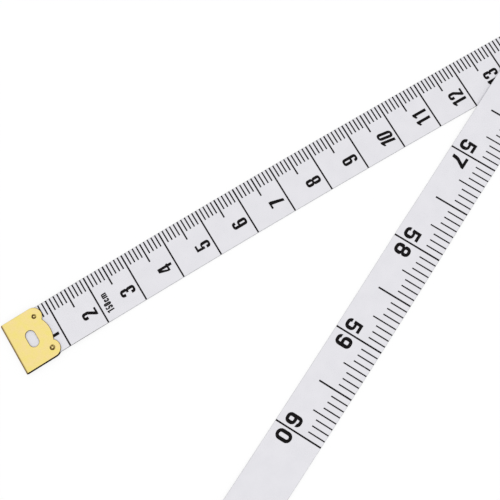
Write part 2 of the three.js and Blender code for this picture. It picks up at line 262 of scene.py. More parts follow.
lead_share = fine(lead_span * roll_radius)
lead_angle = metric_start_angle + lead_span * lead_share
wound_radius = roll_radius + strand_slope * (lead_angle - join_angle)
lead_blend = ease(lead_share)
lead_blend_slope = 6 * lead_share * (1 - lead_share) / lead_span
lead_radius = lead_distance + (wound_radius - lead_distance) * lead_blend
lead_slope = strand_slope * lead_blend + (wound_radius - lead_distance) * lead_blend_slope

free_metric = metric_cut + (crossing_metric_distance - metric_cut) * fine(crossing_metric_distance)
legs = [
    swept(metric_zero, metric_sweep_radius, free_metric),
    ahead(metric_line, lead_reach * fine(lead_reach)),
    round_centre(roll_centre, lead_radius, lead_slope, lead_angle),
    strand(join_angle),
    wave_half(1),
    wave_half(-1),
    backwards(strand(inch_start_angle)),
    backwards(ahead(inch_line, roll_reach * fine(roll_reach))),
    swept(inch_line_back, inch_sweep_radius, inch_free_length * fine(inch_free_length)),
]
line_x = np.concatenate([leg[0] for leg in legs])
line_y = np.concatenate([leg[1] for leg in legs])
line_heading = np.unwrap(np.concatenate([leg[2] for leg in legs]))
steps = np.hypot(np.diff(line_x), np.diff(line_y))
line_distance = metric_cut + np.concatenate([[0], np.cumsum(steps)])
inch_straight_start = sum(len(leg[0]) for leg in legs[:-2])
wound_start = sum(len(leg[0]) for leg in legs[:3])
shortfall = crossing_inch_distance - roll_reach - line_distance[inch_straight_start]
wound_share = (line_distance - line_distance[wound_start]) / (
    line_distance[inch_straight_start] - line_distance[wound_start]
)
line_distance = line_distance + shortfall * np.clip(wound_share, 0, 1)

flat_step = 2 * mm
curved_step = 0.5 * mm
roll_step = 0.6 * mm
tape_joint = crossing_inch_distance - roll_reach - joint_before_twist
stretches = (
    (metric_mouth, flat_step),
    (metric_mouth + tip_lift_length, roll_step),
    (metric_fold_distance - bend_length, flat_step),
    (metric_fold_distance + bend_overrun, curved_step),
    (crossing_metric_distance - overlap_long, flat_step),
    (crossing_metric_distance + metric_twist_start, flat_step),
    (crossing_metric_distance + metric_twist_start + twist_length, curved_step),
    (line_distance[wound_start], roll_step),
    (tape_joint, roll_step),
    (crossing_inch_distance - inch_twist_start, curved_step),
    (inch_fold_distance - bend_overrun, roll_step),
    (inch_fold_distance + bend_length, curved_step),
    (inch_mouth - tip_lift_length, flat_step),
    (inch_mouth, roll_step),
    (inch_cut, flat_step),
)
station_runs = []
first = metric_cut
for last, step in stretches:
    station_runs.append(np.linspace(first, last, math.ceil((last - first) / step) + 1))
    first = last
station_distance = np.unique(np.concatenate(station_runs).round(8))
metric_reach = station_distance - crossing_metric_distance
inch_reach = crossing_inch_distance - station_distance

# Where the inch end lies over the metric end its cloth is drawn a little longer and narrower,
# and its course wanders a little to either side.
drawn_on = 0.5 * mm
drawn_in = 0.017
drawn_in_reach = 46 * mm
drawn_in_fade = 16 * mm
wander_distance = np.array([-30, 10, 18, 28, 44, 58, 76, 95]) * mm
wander_to_left = np.array([0, -0.25, -0.16, -0.03, 0.09, 0.12, 0.05, 0]) * mm
drawn_length = 1 - ease((np.abs(inch_reach) - overlap_long) / settle_length)
drawn_width = 1 - ease((np.abs(inch_reach) - drawn_in_reach) / drawn_in_fade)
line_place = station_distance + drawn_on * drawn_length
wander = np.interp(-inch_reach, wander_distance, wander_to_left)
station_heading = np.interp(line_place, line_distance, line_heading)
station_x = np.interp(line_place, line_distance, line_x) + wander * np.sin(station_heading)
station_y = np.interp(line_place, line_distance, line_y) - wander * np.cos(station_heading)
tape_middle = (crossing_metric_distance + crossing_inch_distance) / 2
station_turn = np.where(
    station_distance < tape_middle,
    quarter_turn * ease((metric_reach - metric_twist_start) / twist_length),
    quarter_turn * (2 - ease((inch_reach - inch_twist_start) / twist_length)),
)
tip_lift = tip_sheet * (1 - ease((station_distance - metric_mouth) / tip_lift_length))
tip_lift += tip_sheet * (1 - ease((inch_mouth - station_distance) / tip_lift_length))
over_lift = crossing_lift * (1 - ease((np.abs(inch_reach) - overlap_long) / settle_length))
rise = half_width * np.abs(np.sin(station_turn)) + half_thickness * np.abs(np.cos(station_turn))
station_z = rise + tip_lift + over_lift

# The weave is pulled a little askew in both free ends, so that the threads across them lean.
metric_square_distance = 70 * mm
metric_lean_radius = 2380 * mm
most_lean = 0.03
inch_lean = -0.0235
metric_pull = (metric_square_distance - station_distance) / metric_lean_radius
metric_pull = np.clip(metric_pull, -most_lean, most_lean)
metric_pull *= 1 - ease((metric_reach + overlap_long) / twist_length)
inch_pull = inch_lean * (1 - ease((inch_reach + overlap_long) / twist_length))
thread_lean = np.where(station_distance < tape_middle, metric_pull, inch_pull)

nothing = np.zeros_like(station_distance)
to_left = np.stack([-np.sin(station_heading), np.cos(station_heading), nothing], axis=1)
onward = np.stack([np.cos(station_heading), np.sin(station_heading), nothing], axis=1)
to_sky = np.array([0, 0, 1])
turn_cos = np.cos(station_turn)[:, None]
turn_sin = np.sin(station_turn)[:, None]
station_middle = np.stack([station_x, station_y, station_z], axis=1)
station_across = (to_left + onward * thread_lean[:, None]) * turn_cos - to_sky * turn_sin
station_across *= (1 - drawn_in * drawn_width)[:, None]
station_out = to_sky * turn_cos + to_left * turn_sin


def between_stations(values, distance):
    columns = [np.interp(distance, station_distance, values[:, axis]) for axis in range(3)]
    return np.stack(columns, axis=-1)


def on_tape(distance, across, out):
    """Points at a distance along the tape, a distance across it and out from its middle."""
    return (
        between_stations(station_middle, distance)
        + between_stations(station_across, distance) * across[:, None]
        + between_stations(station_out, distance) * out[:, None]
    )


# The section's corners follow each other round the metric face, one edge, the inch face and the
# other edge.
face_divisions = 6
edge_divisions = 3
full_thickness_share = 0.999
tape_smooth_degrees = 12


def tape_profile():
    flat_half = half_width - tape_edge_round
    low_half = half_thickness - tape_edge_round
    points = []
    for side in (1, -1):
        across = side * np.linspace(-flat_half, flat_half, face_divisions + 1)
        points += [(x, side * half_thickness) for x in across]
        for corner in (1, -1):
            for step in range(1, edge_divisions + (corner > 0)):
                angle = quarter_turn * (step / edge_divisions)
                lean = angle if corner > 0 else quarter_turn + angle
                x = flat_half + tape_edge_round * math.sin(lean)
                y = corner * low_half + tape_edge_round * math.cos(lean)
                points.append((side * x, side * y))
            if corner > 0:
                points.append((side * half_width, -side * low_half))
    return np.array(points)


profile = tape_profile()
around = np.linalg.norm(np.diff(np.vstack([profile, profile[:1]]), axis=0), axis=1)
around = np.concatenate([[0], np.cumsum(around)])
profile_sums = profile[:, 1] + np.roll(profile, -1, axis=0)[:, 1]
metric_finish, inch_finish, edge_finish = range(3)
profile_finish = np.full(len(profile), edge_finish)
profile_finish[profile_sums > tape_thickness * full_thickness_share] = metric_finish
profile_finish[profile_sums < -tape_thickness * full_thickness_share] = inch_finish


def new_piece(name, data):
    piece = bpy.data.objects.new(name, data)
    bpy.context.collection.objects.link(piece)
    return piece


def band(name, first, last):
    """One stretch of the tape as a closed mesh, with a UV map in tape widths."""
    chosen = (station_distance > first - fine_step / 4) & (station_distance < last + fine_step / 4)
    distance = station_distance[chosen]
    rings, sides = len(distance), len(profile)
    points = on_tape(
        np.repeat(distance, sides), np.tile(profile[:, 0], rings), np.tile(profile[:, 1], rings)
    )
    faces, maps, edges = [], [], []
    for ring in range(rings - 1):
        near, far = distance[ring] / tape_width, distance[ring + 1] / tape_width
        for side in range(sides):
            start = ring * sides + side
            beside = ring * sides + (side + 1) % sides
            faces.append((start, start + sides, beside + sides, beside))
            low, high = around[side] / tape_width, around[side + 1] / tape_width
            maps += [(near, low), (far, low), (far, high), (near, high)]
            edges.append(profile_finish[side])
    last_ring = range(rings * sides - 1, (rings - 1) * sides - 1, -1)
    for ring_points, cut_at in ((range(sides), distance[0]), (last_ring, distance[-1])):
        faces.append(tuple(ring_points))
        across = profile[np.array(ring_points) % sides, 0]
        maps += [(cut_at / tape_width, place / tape_width) for place in across]
        edges.append(edge_finish)
    mesh = bpy.data.meshes.new(name)
    mesh.from_pydata(points.tolist(), [], faces)
    mesh.uv_layers.new(name="along_tape").data.foreach_set("uv", np.array(maps).ravel())
    for finish in (metric_coating, inch_coating, tape_cut_edge):
        mesh.materials.append(finish)
    mesh.polygons.foreach_set("material_index", edges)
    piece = new_piece(name, mesh)
    smooth(piece, tape_smooth_degrees)
    return piece


def only(piece):
    """Leaves this piece alone selected and active."""
    bpy.ops.object.select_all(action="DESELECT")
    piece.select_set(True)
    bpy.context.view_layer.objects.active = piece


def smooth(piece, degrees):
    only(piece)
    bpy.ops.object.shade_smooth_by_angle(angle=math.radians(degrees))


def plain_material(name, colour, roughness, metallic=0.0):
    """A material with one principled shader, and its nodes and links for what is added."""
    material = bpy.data.materials.new(name)
    material.use_nodes = True
    tree = material.node_tree
    shader = tree.nodes["Principled BSDF"]
    shader.inputs["Base Color"].default_value = (*colour, 1)
    shader.inputs["Roughness"].default_value = roughness
    shader.inputs["Metallic"].default_value = metallic
    return material, shader, tree.nodes, tree.links


def ranged(nodes, links, value, first, last, low=0, high=1):
    """Turns what a value has between first and last into low to high, and holds it beyond."""
    step = nodes.new("ShaderNodeMapRange")
    numbers = {"From Min": first, "From Max": last, "To Min": low, "To Max": high}
    for name, number in numbers.items():
        step.inputs[name].default_value = number
    links.new(value, step.inputs["Value"])
    return step.outputs["Result"]


def blended(nodes, links, share, first, second):
    """Covers a share of the first, a colour or a colour's socket, with the second colour."""
    mix = nodes.new("ShaderNodeMix")
    mix.data_type = "RGBA"
    links.new(share, mix.inputs["Factor"])
    if isinstance(first, tuple):
        mix.inputs["A"].default_value = (*first, 1)
    else:
        links.new(first, mix.inputs["A"])
    mix.inputs["B"].default_value = (*second, 1)
    return mix.outputs["Result"]


def mottled(nodes, links, coordinates, scale, first, second, low=0.35, high=0.65):
    """Cloudy patches between two colours, and how much of the second is in them."""
    clouds = nodes.new("ShaderNodeTexNoise")
    clouds.inputs["Scale"].default_value = scale
    clouds.inputs["Detail"].default_value = 2
    links.new(coordinates, clouds.inputs["Vector"])
    patches = ranged(nodes, links, clouds.outputs["Fac"], low, high)
    return blended(nodes, links, patches, first, second), patches


def varied(nodes, links, amount, low, high, socket):
    """Drives one of the shader's numbers by patches, between two values."""
    links.new(ranged(nodes, links, amount, 0, 1, low, high), socket)


def from_map(nodes, map_name):
    """Coordinates on one of the piece's own UV maps."""
    coordinates = nodes.new("ShaderNodeUVMap")
    coordinates.uv_map = map_name
    return coordinates.outputs["UV"]


def bumped(nodes, links, height, distance, strength, shader):
    bump = nodes.new("ShaderNodeBump")
    bump.inputs["Distance"].default_value = distance
    bump.inputs["Strength"].default_value = strength
    links.new(height, bump.inputs["Height"])
    links.new(bump.outputs["Normal"], shader.inputs["Normal"])


metric_white = (0.785, 0.777, 0.816)
metric_shade = (0.765, 0.758, 0.797)
inch_white = (0.788, 0.78, 0.82)
inch_shade = (0.768, 0.761, 0.802)
cut_grey = (0.37, 0.37, 0.4)
cut_pale = (0.57, 0.57, 0.6)
# Painted shade: the cut edges near the metric tip are darkened where the tape, held up by the tip,
# would throw its shadow.
cut_painted_shade = (0.07, 0.065, 0.065)
painted_shade_share = 0.8
painted_shade_full_to = 1.4
painted_shade_gone_at = 1.9
coating_clouds = 3.2
coating_roughness = (0.4, 0.52)
cut_roughness = (0.9, 0.7)
thread_pitch = 0.42 * mm
thread_height = 0.012 * mm
thread_waver = 0.6
wave_period = math.pi / 10


def threads(nodes, links, coordinates, direction):
    """Parallel threads that show through the coating, in one direction."""
    rows = nodes.new("ShaderNodeTexWave")
    rows.bands_direction = direction
    rows.inputs["Scale"].default_value = wave_period * tape_width / thread_pitch
    rows.inputs["Distortion"].default_value = thread_waver
    rows.inputs["Detail"].default_value = 1
    links.new(coordinates, rows.inputs["Vector"])
    return rows.outputs["Fac"]


def coated_cloth(name, white, shade):
    """Smooth white coating on a fine weave, with faint clouds in it."""
    material, shader, nodes, links = plain_material(name, white, 0.45)
    shader.inputs["Specular IOR Level"].default_value = 0.4
    shader.inputs["Sheen Weight"].default_value = 0.05
    place = from_map(nodes, "along_tape")
    colour, patches = mottled(nodes, links, place, coating_clouds, white, shade)
    links.new(colour, shader.inputs["Base Color"])
    varied(nodes, links, patches, *coating_roughness, shader.inputs["Roughness"])
    warp, weft = (threads(nodes, links, place, direction) for direction in "XY")
    weave = worked_out(nodes, links, "MULTIPLY", warp, weft)
    bumped(nodes, links, weave, thread_height, 0.3, shader)
    return material


def cut_cloth(name, dark, pale, edge_shade_colour):
    """The edge where the coated cloth was cut, with its thread ends, and painted shade near the metric
    tip.
    """
    material, shader, nodes, links = plain_material(name, dark, 0.8)
    shader.inputs["Specular IOR Level"].default_value = 0.2
    place = from_map(nodes, "along_tape")
    colour, patches = mottled(nodes, links, place, tape_width / thread_pitch, dark, pale)
    widths_from_zero = nodes.new("ShaderNodeSeparateXYZ")
    links.new(place, widths_from_zero.inputs[0])
    # Painted shade on the cut edge, full up to 1.4 tape widths from the zero and gone by 1.9.
    painted_shade_near_tip = ranged(nodes, links, widths_from_zero.outputs["X"], painted_shade_full_to, painted_shade_gone_at, painted_shade_share, 0)
    links.new(blended(nodes, links, painted_shade_near_tip, colour, edge_shade_colour), shader.inputs["Base Color"])
    varied(nodes, links, patches, *cut_roughness, shader.inputs["Roughness"])
    bumped(nodes, links, patches, thread_height, 0.6, shader)
    return material


metric_coating = coated_cloth("metric face coating", metric_white, metric_shade)
inch_coating = coated_cloth("inch face coating", inch_white, inch_shade)
tape_cut_edge = cut_cloth("cut tape edge", cut_grey, cut_pale, cut_painted_shade)


def bends_with_tape(piece):
    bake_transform(piece)


metric_tape = band("tape_from_metric_end", metric_cut, tape_joint)
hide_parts("metric_end_tape", "metric_lead_tape", "tape_roll")
bends_with_tape(metric_tape)

inch_tape = band("tape_from_inch_end", tape_joint, inch_cut)
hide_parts("inch_end_tape", "inch_lead_tape")
bends_with_tape(inch_tape)

# The metric scale: black ink printed on the face that is up at the metric end, a line for each
# millimetre from one edge, longer at each fifth, and right across at each centimetre. The
# numbers are narrow and bold, with their feet towards the line that they count.
ink_above_face = 0.02 * mm
ink_below_face = 0.01 * mm
ink_black = (0.003, 0.0022, 0.0026)
ink_thin = (0.0075, 0.0058, 0.0065)
ink_patches = 1600
ink_roughness = (0.55, 0.7)


def mottled_material(
    name, first, second, scale, roughness,
    metallic=0.0, specular=0.5, map_name=None, low=0.35, high=0.65,
):
    """Patches of two colours in the piece's own space, or on a UV map, each with its roughness."""
    material, shader, nodes, links = plain_material(name, first, sum(roughness) / 2, metallic)
    shader.inputs["Specular IOR Level"].default_value = specular
    if map_name:
        place = from_map(nodes, map_name)
    else:
        place = nodes.new("ShaderNodeTexCoord").outputs["Object"]
    colour, patches = mottled(nodes, links, place, scale, first, second, low, high)
    links.new(colour, shader.inputs["Base Color"])
    varied(nodes, links, patches, *roughness, shader.inputs["Roughness"])
    return material


print_ink = mottled_material(
    "black printing ink", ink_black, ink_thin, ink_patches, ink_roughness, specular=0.08
)


def rounded(corners, steps=4):
    """A closed outline from corners given as x, y and the radius that rounds each."""
    outline = []
    for index, (x, y, radius) in enumerate(corners):
        here = Vector((x, y))
        if radius == 0:
            outline.append(here)
            continue
        back = (Vector(corners[index - 1][:2]) - here).normalized()
        onward = (Vector(corners[(index + 1) % len(corners)][:2]) - here).normalized()
        half_angle = back.angle(onward) / 2
        centre = here + (back + onward).normalized() * radius / math.sin(half_angle)
        reach = radius / math.tan(half_angle)
        start, end = here + back * reach - centre, here + onward * reach - centre
        outline += [
            centre + start.slerp(end, step / steps) * radius for step in range(steps + 1)
        ]
    return outline


def digit_shapes(width, stem, bar, leg, foot, bow, outer):
    """Corners of each digit's outlines, one unit high, as x, y and the radius that rounds each.

    Upright strokes are a stem wide and level ones a bar. The 7 has a leg that stands at the foot.
    Bow bends that leg and swells the round digits, and outer rounds the outside corners.
    """
    right = width - stem
    top = 1 - bar
    inner = max(outer - stem, stem * 0.2)
    mouth = stem * 0.1
    swell = bow * 0.13
    waist = bar + 0.02
    waist_top = 0.57 + waist / 2
    notch = 0.525
    under = -0.015
    high = 1.015

    def box(left, low, far, high, radius):
        return [(left, low, radius), (far, low, radius), (far, high, radius), (left, high, radius)]

    six = [
        [
            (0, under, outer), (width + swell, under, outer), (width + swell, waist_top, outer),
            (stem, waist_top - 0.02, 0), (stem, top, inner), (right, top, inner),
            (right, 0.76, 0), (width, 0.76, 0), (width, high, outer), (0, high, outer),
        ],
        box(stem, bar, right + swell, waist_top - waist, inner),
    ]
    flag = width * 0.5 - stem * 0.125
    lean = stem * 1.2
    post = width * 0.54
    post_right = post + stem * 0.9
    beam = 0.245
    outer_knee = foot + leg + (width - foot - leg) * 0.44 - bow
    inner_knee = foot + (width - leg * 1.3 - foot) * 0.48 - bow
    small = 0.72
    middle = width * 0.62
    return {
        "0": [
            box(-swell, under, width + swell, high, outer * 1.15),
            box(stem - swell, bar, right + swell, top, max(outer * 1.15 - stem, inner)),
        ],
        "1": [[
            (flag, 0, 0), (flag + stem, 0, 0), (flag + stem, 1, 0), (flag + stem * 0.3, 1, 0),
            (flag - stem * 0.75, 0.88, 0), (flag - stem * 0.75, 0.75, 0), (flag, 0.79, 0),
        ]],
        "2": [[
            (0, 0, 0), (width, 0, 0), (width, bar, 0), (lean, bar, 0), (width, 0.58, 0.2),
            (width, high, outer), (0, high, outer), (0, 0.68, 0), (stem, 0.68, 0),
            (stem, top, inner), (right, top, inner), (right, 0.63, 0.12), (0, bar * 0.9, 0.04),
        ]],
        "3": [[
            (0, under, outer), (width, under, outer), (width, 0.46, 0.09),
            (width * 0.88, notch, 0), (width, 0.59, 0.09), (width, high, outer),
            (0, high, outer), (0, 0.71, 0), (stem, 0.71, 0), (stem, top, inner),
            (right, top, inner), (right, notch + waist / 2, mouth),
            (width * 0.4, notch + waist / 2, 0), (width * 0.4, notch - waist / 2, 0),
            (right, notch - waist / 2, mouth), (right, bar, inner), (stem, bar, inner),
            (stem, 0.29, 0), (0, 0.29, 0),
        ]],
        "4": [
            [
                (post, 0, 0), (post_right, 0, 0), (post_right, beam, 0), (width, beam, 0),
                (width, beam + bar, 0), (post_right, beam + bar, 0), (post_right, 1, 0),
                (width * 0.34, 1, 0), (0, beam + bar * 1.2, 0), (0, beam, 0), (post, beam, 0),
            ],
            [(stem * 0.6, beam + bar, 0), (post, beam + bar, 0), (post, 0.76, 0)],
        ],
        "5": [[
            (-swell, under, outer), (width + swell, under, outer),
            (width + swell, waist_top, outer), (stem, waist_top - 0.03, 0), (stem, top, 0),
            (width * 0.95, top, 0), (width * 0.95, 1, 0), (stem * 0.2, 1, 0),
            (stem * 0.1, 0.42, 0), (stem, 0.42, 0), (stem * 1.1, waist_top - bar, mouth),
            (right + swell, waist_top - bar, inner), (right + swell, bar, inner),
            (stem - swell, bar, inner), (stem - swell, 0.29, 0), (-swell, 0.29, 0),
        ]],
        "6": six,
        "7": [[
            (foot, 0, 0), (foot + leg, 0, 0), (outer_knee, 0.38, bow * 5), (width, 0.86, 0),
            (width, 1, 0), (-bow / 2, 1, 0), (-bow / 2, top, 0), (width - leg * 1.3, top, 0),
            (inner_knee, 0.38, bow * 5),
        ]],
        "8": [
            [
                (-swell, under, outer), (width + swell, under, outer), (width + swell, 0.46, 0.1),
                (width * 0.84, 0.528, 0), (width - swell, 0.6, 0.1), (width - swell, high, outer),
                (swell, high, outer), (swell, 0.6, 0.1), (width * 0.16, 0.528, 0),
                (-swell, 0.46, 0.1),
            ],
            box(stem - swell, bar, right + swell, 0.523 - bar / 2, inner),
            box(stem, 0.533 + bar / 2, right, top, inner),
        ],
        "9": [[(width - x, 1 - y, radius) for x, y, radius in outline] for outline in six],
        "c": [[
            (0, 0, outer), (width, 0, outer), (width, 0.27, 0), (right, 0.27, 0),
            (right, bar, inner), (stem, bar, inner), (stem, small - bar, inner),
            (right, small - bar, inner), (right, small - 0.27, 0), (width, small - 0.27, 0),
            (width, small, outer), (0, small, outer),
        ]],
        "m": [[
            (0, 0, 0), (stem, 0, 0), (stem, small - bar, 0), (middle, small - bar, 0),
            (middle, 0, 0), (middle + stem, 0, 0), (middle + stem, small - bar, 0),
            (middle * 2, small - bar, 0), (middle * 2, 0, 0), (middle * 2 + stem, 0, 0),
            (middle * 2 + stem, small, outer), (0, small, 0),
        ]],
    }


merge_distance = 0.001
flat_angle = 0.01


def drawn_mesh(name, curve, lines, closed):
    """Draws lines and turns them into a mesh, left in edit mode and selected all over."""
    for places in lines:
        line = curve.splines.new("POLY")
        line.points.add(len(places) - 1)
        for point, place in zip(line.points, places):
            point.co = (*place, 1)
        line.use_cyclic_u = closed
    piece = new_piece(name, curve)
    only(piece)
    bpy.ops.object.convert(target="MESH")
    bpy.ops.object.mode_set(mode="EDIT")
    bpy.ops.mesh.select_all(action="SELECT")
    return piece


def flat_solid(name, outlines, thickness, cuts, cut_axis, rim_round=0):
    """A flat solid from closed outlines, holes too, sliced across so that it can be bent."""
    curve = bpy.data.curves.new(name, "CURVE")
    curve.dimensions = "2D"
    curve.fill_mode = "BOTH"
    curve.extrude = thickness / 2 - rim_round
    curve.bevel_depth = rim_round
    curve.bevel_resolution = 1
    curve.offset = -rim_round
    solid = drawn_mesh(name, curve, [[(x, y, 0) for x, y in outline] for outline in outlines], True)
    bpy.ops.mesh.remove_doubles(threshold=merge_distance)
    bpy.ops.mesh.dissolve_limited(angle_limit=flat_angle)
    for cut in cuts:
        bpy.ops.mesh.select_all(action="SELECT")
        bpy.ops.mesh.bisect(plane_co=cut_axis * cut, plane_no=cut_axis)
    bpy.ops.object.mode_set(mode="OBJECT")
    return solid


def digit_stamps(shapes, characters, cuts, cut_axis):
    """The points and faces of each character, one unit high and one unit thick."""
    stamps = {}
    for character in characters:
        outlines = [rounded(corners) for corners in shapes[character]]
        digit = flat_solid("digit", outlines, 1, cuts, cut_axis)
        points = np.array([vertex.co for vertex in digit.data.vertices])
        stamps[character] = points, [tuple(face.vertices) for face in digit.data.polygons]
        bpy.data.meshes.remove(digit.data)
    return stamps


# A printed line's stamp is a plain block, which keeps off the very edge of the tape. The stamps
# of the numbers are sliced, so that they can follow a bend.
digits = "0123456789"
bar_corners = np.array([(x, y, z) for x in (0, 1) for y in (-0.5, 0.5) for z in (-0.5, 0.5)])
bar_faces = [(0, 1, 3, 2), (4, 6, 7, 5), (0, 4, 5, 1), (2, 3, 7, 6), (0, 2, 6, 4), (1, 5, 7, 3)]
line_margin = 0.02 * mm
full_reach = tape_width - 2 * line_margin
print_cut_step = 0.5 * mm


class Print:
    """Ink stamps gathered on one face of the tape, to become one mesh for each stretch."""

    def __init__(self, face_side):
        self.face_side = face_side
        self.stamps = []

    def add(self, stamp, distance, across, anchor):
        points, faces = stamp
        out = np.where(points[:, 2] > 0, ink_above_face, -ink_below_face) + half_thickness
        self.stamps.append((anchor, distance, across, out * self.face_side, faces))

    def ruled(self, step, length, kinds):
        """A line from one edge at every step, of the first kind whose interval falls on it."""
        for count in range(1, round(length / step) + 1):
            width, reach = next(kind[1:] for kind in kinds if count % kind[0] == 0)
            distance = count * step
            along = distance + bar_corners[:, 1] * width
            across = (half_width - line_margin - bar_corners[:, 0] * reach) * self.face_side
            self.add((bar_corners, bar_faces), along, across, distance)

    def piece(self, name, first, last):
        points, faces, count = [], [], 0
        for anchor, distance, across, out, stamp_faces in self.stamps:
            if first < anchor < last:
                points.append(on_tape(distance, across, out))
                faces += [tuple(corner + count for corner in face) for face in stamp_faces]
                count += len(distance)
        mesh = bpy.data.meshes.new(name)
        mesh.from_pydata(np.concatenate(points).tolist(), [], faces)
        mesh.materials.append(print_ink)
        piece = new_piece(name, mesh)
        return piece

    def pieces(self, name):
        """The print on both stretches of the tape, one piece for each."""
        bends_with_tape(self.piece(name + "_from_metric_end", metric_cut, tape_joint))
        bends_with_tape(self.piece(name + "_from_inch_end", tape_joint, inch_cut))


narrow_height = 3.55 * mm
narrow_pitch = 0.55
narrow_foot = 0.9 * mm
narrow_middle = -2.0 * mm
slant = 0.14
slanted_pitch = 0.51

narrow_cuts = np.arange(print_cut_step, narrow_height, print_cut_step) / narrow_height
narrow_shapes = digit_shapes(
    width=0.5, stem=0.195, bar=0.13, leg=0.19, foot=0.083, bow=0, outer=0.18
)
narrow_stamps = digit_stamps(narrow_shapes, digits, narrow_cuts, Vector((0, 1, 0)))

millimetre_line = 0.32 * mm
fifth_line = 0.36 * mm
centimetre_line = 0.37 * mm
millimetre_reach = 0.254 * tape_width
fifth_reach = 0.401 * tape_width
metric_length = 1500 * mm

metric_print = Print(1)


def metric_word(text, stamps, distance, height, pitch, lean=0, off_across=0):
    """Writes across the tape, with the word's feet at this distance along it."""
    reach = [stamps[character][0][:, 0] + index * pitch for index, character in enumerate(text)]
    middle = (reach[0].min() + reach[-1].max() + lean) / 2
    for index, character in enumerate(text):
        points = stamps[character][0]
        left = narrow_middle + off_across + (index * pitch - middle) * height
        across = left + (points[:, 0] + points[:, 1] * lean) * height
        metric_print.add(stamps[character], distance - points[:, 1] * height, across, distance)


metric_lines = (
    (10, centimetre_line, full_reach),
    (5, fifth_line, fifth_reach),
    (1, millimetre_line, millimetre_reach),
)
metric_print.ruled(mm, metric_length, metric_lines)

# How far along and across the first numbers stand off their places, in millimetres.
metric_set_off = {
    1: (0.08, -0.25), 2: (-0.09, -0.05), 3: (-0.07, -0.05), 4: (-0.07, -0.04), 5: (-0.03, 0),
    6: (-0.02, 0.1), 7: (0, 0), 8: (-0.12, -0.15), 9: (-0.1, -0.15), 10: (0.03, 0),
    11: (-0.03, 0.14), 12: (-0.13, 0.06), 13: (-0.17, 0.36),
}

for centimetre in range(1, round(metric_length / (10 * mm)) + 1):
    off_along, off_across = metric_set_off.get(centimetre, (0, 0))
    feet = centimetre * 10 * mm - narrow_foot + off_along * mm
    slanted = centimetre % 10 == 0
    pitch, lean = (slanted_pitch, slant) if slanted else (narrow_pitch, 0)
    metric_word(str(centimetre), narrow_stamps, feet, narrow_height, pitch, lean, off_across * mm)

length_mark_height = 1.75 * mm
length_mark_pitch = 0.5
length_mark_feet = 22.71 * mm
length_mark_across = 0.15 * mm
length_mark_shapes = digit_shapes(
    width=0.4, stem=0.19, bar=0.15, leg=0.19, foot=0.1, bow=0, outer=0.184
)
length_mark_stamps = digit_stamps(length_mark_shapes, "150cm", (), Vector((0, 1, 0)))
metric_word(
    "150cm", length_mark_stamps, length_mark_feet, length_mark_height, length_mark_pitch,
    off_across=length_mark_across,
)

metric_print.pieces("metric_scale")

# The inch scale: the same ink on the other face, which is up at the inch end, a line for each
# sixteenth from the opposite edge, longer at quarters and halves. The numbers are round and
# bold, and stand along the tape with one digit on each side of the line that they count.
round_height = 3.78 * mm
round_width = 0.69
round_gap = 0.82 * mm
round_foot = 1.62 * mm

round_cuts = np.arange(print_cut_step, round_width * round_height, print_cut_step) / round_height
round_shapes = digit_shapes(
    width=round_width, stem=0.232, bar=0.19, leg=0.228, foot=0.07, bow=0.1, outer=0.29
)
round_stamps = digit_stamps(round_shapes, digits, round_cuts, Vector((1, 0, 0)))

sixteenth = inch / 16
sixteenth_line = 0.31 * mm
quarter_line = 0.315 * mm
half_line = 0.4 * mm
inch_line_width = 0.4 * mm
sixteenth_reach = 0.362 * tape_width
quarter_reach = 0.5085 * tape_width
half_reach = 0.7135 * tape_width

inch_print = Print(-1)


def inch_stamp(stamp, distance, foot, anchor):
    points = stamp[0]
    along = distance + points[:, 0] * round_height
    across = foot - points[:, 1] * round_height
    inch_print.add(stamp, along, across, anchor)


inch_lines = (
    (16, inch_line_width, full_reach),
    (8, half_line, half_reach),
    (4, quarter_line, quarter_reach),
    (1, sixteenth_line, sixteenth_reach),
)
inch_print.ruled(sixteenth, scale_length, inch_lines)

# How far along each digit of the last numbers stands off its place, and how far across both
# do, in millimetres.
inch_set_off = {
    57: (0.1, 0.27, 0.15), 58: (0.05, 0.15, 0.02), 59: (0.05, 0.08, 0.18), 60: (-0.05, -0.05, 0.05),
}

for count in range(1, round(scale_length / inch) + 1):
    off_before, off_after, off_across = inch_set_off.get(count, (0, 0, 0))
    foot = half_width - round_foot + off_across * mm
    before, after = (str(count)[0], str(count)[1:])
    start = count * inch - round_gap - round_width * round_height + off_before * mm
    inch_stamp(round_stamps[before], start, foot, count * inch)
    if after:
        start = count * inch + round_gap + off_after * mm
        inch_stamp(round_stamps[after], start, foot, count * inch)

inch_print.pieces("inch_scale")

# The brass tips: each is one blank of soft sheet brass with two rounded ears on each leaf and an
# oblong slot in the front one, folded over the tape's end and pressed flat on it. The cut edges
# and the inside are dark, partly with tarnish and partly with painted shade: black on the edges
# that face one side and inside the leaves, brown on the other edges, while the top rim along the
# other side stays bright as the lit side. A little tarnish has crept along the fold.
tip_width = 12.5
tip_bulge_reach = 9.58
tip_bulge_radius = 6.2
tip_ear_radius = 2.07
tip_slot_length = 3.95
tip_slot_width = 2.28
tip_slot_distance = 4.91
rivet_distance = 7.78
rivet_offset = 4.14
rivet_hole_radius = 0.42
tip_rim_round = 0.09
fold_skew = 0.032
mouth_skew = 0.008
back_leaf_shift = 0.12
fold_cuts = 6
arc_steps = 24
hole_steps = 20
tip_smooth_degrees = 20

# Small outlines fill badly, so the blank is drawn in millimetres and folded to its life size.
fold_mid_radius = (fold_radius - tip_sheet / 2) / mm
fold_arc = fold_mid_radius * quarter_turn
leaf_start = fold_arc - fold_radius / mm


def arc(centre_x, centre_y, radius, first, last, steps=arc_steps):
    return [
        (centre_x + radius * math.cos(angle), centre_y + radius * math.sin(angle))
        for angle in np.linspace(first, last, steps + 1)
    ]


